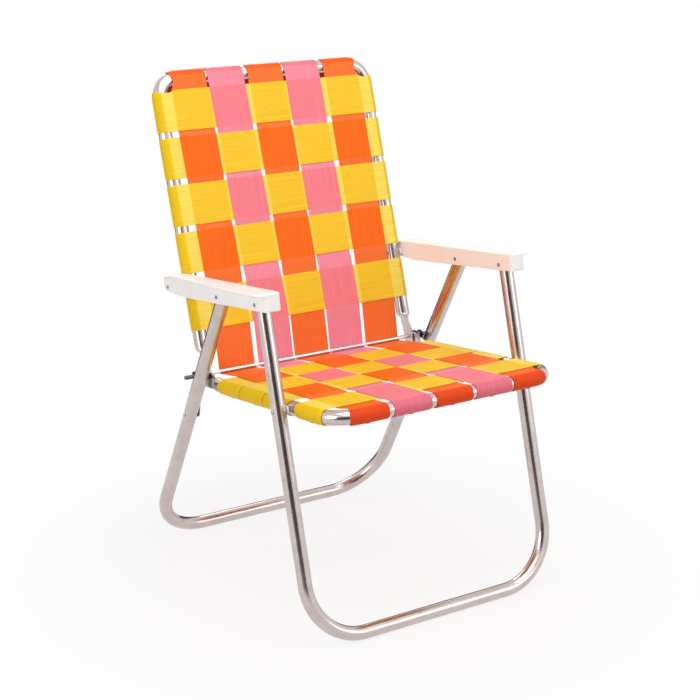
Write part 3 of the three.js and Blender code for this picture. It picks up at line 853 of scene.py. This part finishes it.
def build_screws():
    """A screw under the tube at each end of every strap."""
    head = STRAP_R + STRAP_T / 2
    far, out = head * math.cos(SCREW_ANGLE), head * math.sin(SCREW_ANGLE)
    for body, weave in WEAVES.items():
        place = placer(weave["bar"], weave["run"], weave["face"])
        half = weave["half"]
        spots = []
        for middle in weave["rows"]:
            for side in (-1, 1):
                spots.append((place(side * half, middle, 0), place(side * (half - far), middle, out)))
        for column in COLUMNS:
            x = column_middle(column, weave, 0)
            spots.append((place(x, 0, 0), place(x, far, out)))
        points, faces = screw_heads(spots)
        piece = facing_out(new_object(f"{body}_strap_screws", points, faces))
        finish_piece(piece, body, [], "rivet")


# Armrests: t is a distance ahead of the rear pivot

def turn_in(share):
    """Fall from 0 to 1 of a curve that starts level and ends upright."""
    return (1 - math.sqrt(max(1 - share, 0))) ** 2


def arm_top(t):
    """Height of the armrest above the pivot line."""
    if t >= ARM_CREST:
        return between(ARM_CREST_TOP, ARM_TOP, (t - ARM_CREST) / (ARM_FRONT - ARM_CREST))
    share = (ARM_CREST - t) / (ARM_CREST - ARM_REAR)
    return between(ARM_CREST_TOP, ARM_REAR_TOP, turn_in(share))


def arm_bottom(t):
    """Depth of the armrest below the pivot line."""
    if t < 0:
        return (ARM_DEEP - ARM_RISE) * (1 - turn_in(t / ARM_REAR))
    return ARM_DEEP - ARM_RISE * max(1 - t / ARM_RISE_LENGTH, 0)


def arm_edge(t):
    """Place across of the top plate's outer edge."""
    start, end = ARM_REAR, ARM_FRONT - ARM_LIP_CORNER
    if t > end:
        return ARM_OUTER + ARM_LIP - ARM_LIP_CORNER * turn_in((t - end) / ARM_LIP_CORNER)
    return ARM_OUTER + ARM_LIP * smooth((t - start) / (end - start) * ARM_FLARE)


def fillet(corner, radius, start, end, steps):
    """Points round a corner whose arc runs from the start angle to the end angle, in degrees."""
    return arc(Vector(corner), radius, math.radians(start), math.radians(end), steps)


def arm_section(t, hollow):
    """Outline of (across, up) of the armrest's channel, drawn in where its ends are rounded."""
    from_end = min(t - ARM_REAR, ARM_FRONT - t)
    side_in = round_in(from_end, ARM_CORNER)
    edge_in = round_in(from_end, ARM_EDGE)
    top = arm_top(t) - edge_in
    low = edge_in - arm_bottom(t)
    inner = ARM_INNER + side_in
    outer = ARM_OUTER - side_in
    edge = max(arm_edge(t) - (side_in if t < 0 else edge_in), outer + HAIR)
    lip = top - ARM_PLATE
    roof = lip if hollow else low + 2 * HAIR
    outline = [
        (inner + ARM_WALL, low),
        (inner + ARM_FOOT, low),
        (inner, low + ARM_FOOT),
        *fillet((inner + ARM_EDGE, top - ARM_EDGE), ARM_EDGE, 180, 90, FILLET_STEPS),
        *fillet((edge - ARM_EDGE, top - ARM_EDGE), ARM_EDGE, 90, 0, FILLET_STEPS),
        *fillet((edge - ARM_BRIM, lip + ARM_BRIM), ARM_BRIM, 0, -90, BRIM_STEPS),
        (outer, lip),
        (outer, low + ARM_FOOT),
        (outer - ARM_FOOT, low),
        (outer - ARM_WALL, low),
        (outer - ARM_WALL, roof),
        (inner + ARM_WALL, roof),
    ]
    return [Vector(point) for point in outline]


def arm_stations():
    """(t, hollow) from the rear end to the front end, close together at the rounded ends."""
    ends = [(ARM_WALL, False), (ARM_WALL + HAIR, True)]
    for share in shares(ARM_END_STEPS):
        far = ARM_CORNER * (1 - math.cos(math.pi / 2 * share))
        ends.append((far, far > ARM_WALL))
    ends.sort()
    stations = [(ARM_REAR + far, hollow) for far, hollow in ends]
    for share in shares(ARM_STEPS)[1:-1]:
        stations.append((between(ARM_REAR + ARM_CORNER, ARM_FRONT - ARM_CORNER, share), True))
    return stations + [(ARM_FRONT - far, hollow) for far, hollow in reversed(ends)]


def build_armrests():
    place = placer(arm_pivot, arm_forward, arm_up)
    stations = arm_stations()
    lengthwise = [t for t, hollow in stations]
    outline = arm_section(ARM_SAMPLE, True)
    around = path_lengths(outline + outline[:1])
    for name, side in SIDES.items():
        rings = []
        for t, hollow in stations:
            rings.append([place(side * p.x, t, p.y) for p in arm_section(t, hollow)])
        piece = loft(f"arm_moulding_{name}", rings, around, lengthwise, ARM_SHARP)
        piece.modifiers.new("even shading", "WEIGHTED_NORMAL").keep_sharp = True
        finish_piece(piece, "arms", [f"armrest_{name}"], "white plastic")


# Material nodes: an input is a plain value or another node's output

def set_inputs(tree, node, inputs):
    for key, value in inputs.items():
        if isinstance(value, bpy.types.NodeSocket):
            tree.links.new(value, node.inputs[key])
        else:
            node.inputs[key].default_value = value


def new_node(tree, kind, inputs, **settings):
    node = tree.nodes.new(kind)
    for key, value in settings.items():
        setattr(node, key, value)
    set_inputs(tree, node, inputs)
    return node


def new_material(name):
    material = bpy.data.materials.new(name)
    material.use_nodes = True
    return material, material.node_tree, material.node_tree.nodes["Principled BSDF"]


def from_srgb(colour):
    """A shader colour from red, green and blue out of 255."""
    def linear(value):
        value /= 255
        return value / 12.92 if value <= 0.04045 else ((value + 0.055) / 1.055) ** 2.4
    return (*map(linear, colour), 1)


def math_node(tree, operation, *values):
    return new_node(tree, "ShaderNodeMath", dict(enumerate(values)), operation=operation).outputs[0]


def noise_node(tree, vector, scale, detail=3.0):
    inputs = {"Vector": vector, "Scale": scale, "Detail": detail}
    return new_node(tree, "ShaderNodeTexNoise", inputs).outputs["Fac"]


def position(tree):
    return new_node(tree, "ShaderNodeNewGeometry", {}).outputs["Position"]


def cloud_node(tree, scale, detail=3.0):
    """Noise that has the same grain in every direction."""
    return noise_node(tree, position(tree), scale, detail)


def surface_coordinates(tree):
    return new_node(tree, "ShaderNodeUVMap", {}, uv_map="Lengthwise").outputs["UV"]


def streak_node(tree, across, along):
    """Noise drawn out along the piece, with its scales across and along."""
    inputs = {"Vector": surface_coordinates(tree), "Scale": (across, along, 1)}
    return noise_node(tree, new_node(tree, "ShaderNodeMapping", inputs).outputs["Vector"], 1.0)


def wave_node(tree, place, pitch):
    return math_node(tree, "SINE", math_node(tree, "MULTIPLY", place, 2 * math.pi / pitch))


def ramp_node(tree, factor, stops):
    node = new_node(tree, "ShaderNodeValToRGB", {"Fac": factor})
    elements = node.color_ramp.elements
    while len(elements) < len(stops):
        elements.new(0.5)
    for element, (place, colour) in zip(elements, stops):
        element.position = place
        element.color = colour
    return node.outputs["Color"]


def multiply_colours(tree, first, second):
    factor, colour_a, colour_b, result = 0, 6, 7, 2
    inputs = {factor: 1.0, colour_a: first, colour_b: second}
    node = new_node(tree, "ShaderNodeMix", inputs, data_type="RGBA", blend_type="MULTIPLY")
    return node.outputs[result]


def bump_node(tree, height, strength, distance):
    inputs = {"Height": height, "Strength": strength, "Distance": distance}
    return new_node(tree, "ShaderNodeBump", inputs).outputs["Normal"]


# Materials

def webbing_material(name, backlit_single, crossed, shaded_wrap):
    """Thin woven strap: lengthwise ribs crossed by fine weft. Its colour carries painted light and shade:
    paler where nothing lies against it, as light shining through it from behind; darker round a tube, as
    painted shade; and a little darker in the grooves of the weave, as painted shade among streaks of uneven
    tone.
    """
    rib_pitch, weft_pitch = 0.0028, 0.0016
    rib_share, weft_share = 0.75, 0.25
    streaks_across, streaks_along = 480, 9
    weave_shade = 0.2
    streaks_and_groove_shade, plain = (0.82, 0.82, 0.82, 1), (1, 1, 1, 1)
    dark_end, plain_start = 0.2, 0.7
    bump, bump_height = 0.3, 0.0002
    material, tree, shader = new_material(name)
    place = new_node(tree, "ShaderNodeSeparateXYZ", {0: surface_coordinates(tree)})
    rib = wave_node(tree, place.outputs["X"], rib_pitch)
    weft = wave_node(tree, place.outputs["Y"], weft_pitch)
    woven = math_node(tree, "MULTIPLY", rib, weft)
    ribs = math_node(tree, "MULTIPLY", rib, rib_share)
    height = math_node(tree, "MULTIPLY_ADD", woven, weft_share, ribs)
    streaks = streak_node(tree, streaks_across, streaks_along)
    shade = math_node(tree, "MULTIPLY_ADD", height, weave_shade, streaks)
    # Painted shade in the weave's grooves, mixed with streaks of uneven tone, darkens the colour
    lines = ramp_node(tree, shade, [(dark_end, streaks_and_groove_shade), (plain_start, plain)])
    tone = new_node(tree, "ShaderNodeAttribute", {}, attribute_name="tone")
    stops = [(SINGLE, from_srgb(backlit_single)), (CROSSED, from_srgb(crossed)), (WRAP_SHADE, from_srgb(shaded_wrap))]
    cloth = ramp_node(tree, tone.outputs["Fac"], stops)
    set_inputs(tree, shader, {
        "Base Color": multiply_colours(tree, cloth, lines),
        "Normal": bump_node(tree, height, bump, bump_height),
        "Roughness": 0.55,
        "Specular IOR Level": 0.2,
    })
    return material


def aluminium_material(name, dark, light):
    """Drawn and polished tube: fine lengthwise lines that blur its reflections."""
    lines_across, lines_along = 2500, 6
    patch_scale = 35.0
    smooth_line, rough_line, rough_patch = 0.14, 0.26, 0.06
    dark_end, light_start = 0.25, 0.75
    bump, bump_height = 0.15, 0.00004
    material, tree, shader = new_material(name)
    lines = streak_node(tree, lines_across, lines_along)
    patches = cloud_node(tree, patch_scale)
    rough = math_node(tree, "MULTIPLY_ADD", lines, rough_line - smooth_line, smooth_line)
    stops = [(dark_end, from_srgb(dark)), (light_start, from_srgb(light))]
    set_inputs(tree, shader, {
        "Base Color": ramp_node(tree, patches, stops),
        "Roughness": math_node(tree, "MULTIPLY_ADD", patches, rough_patch, rough),
        "Normal": bump_node(tree, lines, bump, bump_height),
        "Metallic": 1.0,
    })
    return material


def cloudy_colour(tree, clouds, dark, light):
    """A colour that drifts between a dark and a light tone."""
    dark_end, light_start = 0.3, 0.7
    return ramp_node(tree, clouds, [(dark_end, from_srgb(dark)), (light_start, from_srgb(light))])


def steel_material(name, dark, light, rough):
    """Plated steel with cloudy patches."""
    cloud_scale, cloud_detail = 180.0, 5.0
    rough_cloud = 0.2
    bump, bump_height = 0.15, 0.0001
    material, tree, shader = new_material(name)
    clouds = cloud_node(tree, cloud_scale, cloud_detail)
    set_inputs(tree, shader, {
        "Base Color": cloudy_colour(tree, clouds, dark, light),
        "Roughness": math_node(tree, "MULTIPLY_ADD", clouds, rough_cloud, rough),
        "Normal": bump_node(tree, clouds, bump, bump_height),
        "Metallic": 1.0,
    })
    return material


def plastic_material(name, dark, light, rough, grain):
    """Moulded plastic with a faint grain and uneven gloss."""
    cloud_scale, cloud_detail = 25.0, 4.0
    pit_scale, pit_detail, pit_height = 1400.0, 2.0, 0.00008
    rough_cloud = 0.12
    material, tree, shader = new_material(name)
    clouds = cloud_node(tree, cloud_scale, cloud_detail)
    pits = cloud_node(tree, pit_scale, pit_detail)
    set_inputs(tree, shader, {
        "Base Color": cloudy_colour(tree, clouds, dark, light),
        "Roughness": math_node(tree, "MULTIPLY_ADD", clouds, rough_cloud, rough),
        "Normal": bump_node(tree, pits, grain, pit_height),
        "Specular IOR Level": 0.25,
    })
    return material


# Colours are (red, green, blue) out of 255
WEBBINGS = {
    # Each strap's paler colour, where it lies alone, is painted light shining through it; its darker colour
    # round a tube is painted shade
    "yellow webbing": {"backlit_single": (253, 228, 96), "crossed": (253, 205, 44), "shaded_wrap": (240, 199, 16)},
    "orange webbing": {"backlit_single": (254, 121, 52), "crossed": (254, 110, 12), "shaded_wrap": (236, 73, 12)},
    "pink webbing": {"backlit_single": (250, 146, 166), "crossed": (252, 133, 145), "shaded_wrap": (237, 118, 136)},
}
STEELS = {
    "rivet": {"dark": (112, 112, 112), "light": (150, 150, 150), "rough": 0.3},
    "bright rivet": {"dark": (170, 169, 168), "light": (198, 197, 195), "rough": 0.25},
    # The bright rod's pink tint is painted reflection of the coloured straps
    "bright rod": {"dark": (205, 198, 199), "light": (226, 220, 221), "rough": 0.2},
    "screw thread": {"dark": (104, 110, 107), "light": (132, 138, 135), "rough": 0.4},
    "plated strip": {"dark": (104, 106, 108), "light": (136, 138, 140), "rough": 0.3},
}
PLASTICS = {
    "grey plastic": {"dark": (176, 180, 174), "light": (196, 198, 194), "rough": 0.4, "grain": 0.2},
    "black plastic": {"dark": (22, 23, 25), "light": (34, 35, 37), "rough": 0.4, "grain": 0.2},
    "white plastic": {"dark": (247, 246, 243), "light": (251, 250, 248), "rough": 0.32, "grain": 0.12},
}
# The tube's warm pink cast is painted reflected light from the coloured straps, laid over its grey
MATERIALS = {"polished tube": aluminium_material("polished tube", (191, 178, 175), (208, 195, 192))}
for make, looks in ((webbing_material, WEBBINGS), (steel_material, STEELS), (plastic_material, PLASTICS)):
    for name, look in looks.items():
        MATERIALS[name] = make(name, **look)


# Camera, floor and light

CAMERA_LENS = 84.4
CAMERA_PLACE = (-1.5857, -2.4298, 1.2918)
CAMERA_TARGET = (0, 0.0001, 0.42513)
CAMERA_ROLL = math.radians(-0.114)
SKY_LIGHT = 0.35
FLOOR_R = 12
FLOOR_SIDES = 96
FLOOR_DROP = 0.0005
# The floor's warm pink tint is painted light bounced from the coloured straps
FLOOR_COLOUR = (0.78, 0.71, 0.70, 1)
FLOOR_FADE_START = 0.4
FLOOR_FADE_END = 0.8
FLOOR_WHITE = 0.86
CARD_COLOUR = (0.03, 0.03, 0.03, 1)
MATT = 0.9
LAMP_TARGET = (0, 0, 0.5)
LAMP_SIZE = 1.4
LAMPS = {
    "overhead": {"place": (0, -1.0, 2.9), "power": 47, "target": (0, 0, 0.4), "size": 2.4},
    "left": {"place": (-2.6, -0.6, 1.4), "power": 25},
    "right": {"place": (1.8, -2.4, 1.4), "power": 12},
    "rear": {"place": (0.9, 2.7, 2.0), "power": 20},
}
CARDS = {
    "near flag": {"place": (-1.15, -1.77, 0.75), "target": (0, 0, 0.75), "width": 2.2, "height": 1.5},
    "far flag": {"place": (-0.04, 1.41, 0.31), "target": (-0.585, 0.57, 0.31), "width": 3.2, "height": 0.62},
}


def facing(place, target):
    return (Vector(target) - Vector(place)).to_track_quat("-Z", "Y")


def build_camera():
    data = bpy.data.cameras.new("photo camera")
    data.lens = CAMERA_LENS
    camera = add_object("photo camera", data)
    camera.location = CAMERA_PLACE
    roll = Matrix.Rotation(CAMERA_ROLL, 3, "Z")
    camera.rotation_euler = (facing(CAMERA_PLACE, CAMERA_TARGET).to_matrix() @ roll).to_euler()
    bpy.context.scene.camera = camera


def background_rays(tree):
    """One where a ray comes from the camera, a mirror or glass."""
    path = new_node(tree, "ShaderNodeLightPath", {})
    seen = math_node(tree, "MAXIMUM", path.outputs["Is Camera Ray"], path.outputs["Is Glossy Ray"])
    return math_node(tree, "MAXIMUM", seen, path.outputs["Is Transmission Ray"])


def build_world():
    """White where it is seen or mirrored, and a weaker light on the chair."""
    world = bpy.data.worlds.new("studio")
    world.use_nodes = True
    bpy.context.scene.world = world
    tree = world.node_tree
    strength = math_node(tree, "MULTIPLY_ADD", background_rays(tree), 1 - SKY_LIGHT, SKY_LIGHT)
    set_inputs(tree, tree.nodes["Background"], {"Color": (1, 1, 1, 1), "Strength": strength})


def floor_material():
    """Pale and matt; to the camera mostly white near the chair and all white farther out."""
    material, tree, shader = new_material("pale floor")
    set_inputs(tree, shader, {"Base Color": FLOOR_COLOUR, "Roughness": MATT, "Specular IOR Level": 0.1})
    from_middle = new_node(tree, "ShaderNodeVectorMath", {0: position(tree)}, operation="LENGTH")
    fade = new_node(tree, "ShaderNodeMapRange", {
        "Value": from_middle.outputs["Value"],
        "From Min": FLOOR_FADE_START,
        "From Max": FLOOR_FADE_END,
        "To Min": FLOOR_WHITE,
    }, interpolation_type="SMOOTHSTEP")
    white = new_node(tree, "ShaderNodeEmission", {})
    mix = new_node(tree, "ShaderNodeMixShader", {
        "Fac": math_node(tree, "MULTIPLY", fade.outputs["Result"], background_rays(tree)),
        1: shader.outputs["BSDF"],
        2: white.outputs["Emission"],
    })
    set_inputs(tree, tree.nodes["Material Output"], {"Surface": mix.outputs["Shader"]})
    return material


def build_floor():
    bpy.ops.mesh.primitive_circle_add(vertices=FLOOR_SIDES, radius=FLOOR_R, fill_type="NGON",
                                      location=(0, 0, -FLOOR_DROP))
    floor = bpy.context.object
    floor.name = "floor"
    floor.data.materials.append(floor_material())


def area_light(name, place, power, target=LAMP_TARGET, size=LAMP_SIZE):
    data = bpy.data.lights.new(name, "AREA")
    data.size = size
    data.energy = power
    light = add_object(name, data)
    light.location = place
    light.rotation_euler = facing(place, target).to_euler()


def dark_card(name, place, target, width, height):
    """A matt studio flag that the bright metal mirrors and the camera doesn't see."""
    w, h = width / 2, height / 2
    card = new_object(name, [(-w, -h, 0), (w, -h, 0), (w, h, 0), (-w, h, 0)], [(0, 1, 2, 3)])
    card.location = place
    card.rotation_euler = facing(place, target).to_euler()
    material, tree, shader = new_material(name)
    set_inputs(tree, shader, {"Base Color": CARD_COLOUR, "Roughness": MATT})
    card.data.materials.append(material)
    card.visible_camera = False
    card.visible_diffuse = False
    card.visible_shadow = False


def build_lights():
    for name, lamp in LAMPS.items():
        area_light(name, **lamp)
    for name, card in CARDS.items():
        dark_card(name, **card)


build_camera()
build_world()
build_floor()
build_lights()
build_frames()
build_rows()
build_columns()
build_rivets()
build_washers()
build_rod()
build_hinge_rings()
build_links()
build_screws()
build_armrests()

bpy.context.scene.view_settings.view_transform = "Standard"
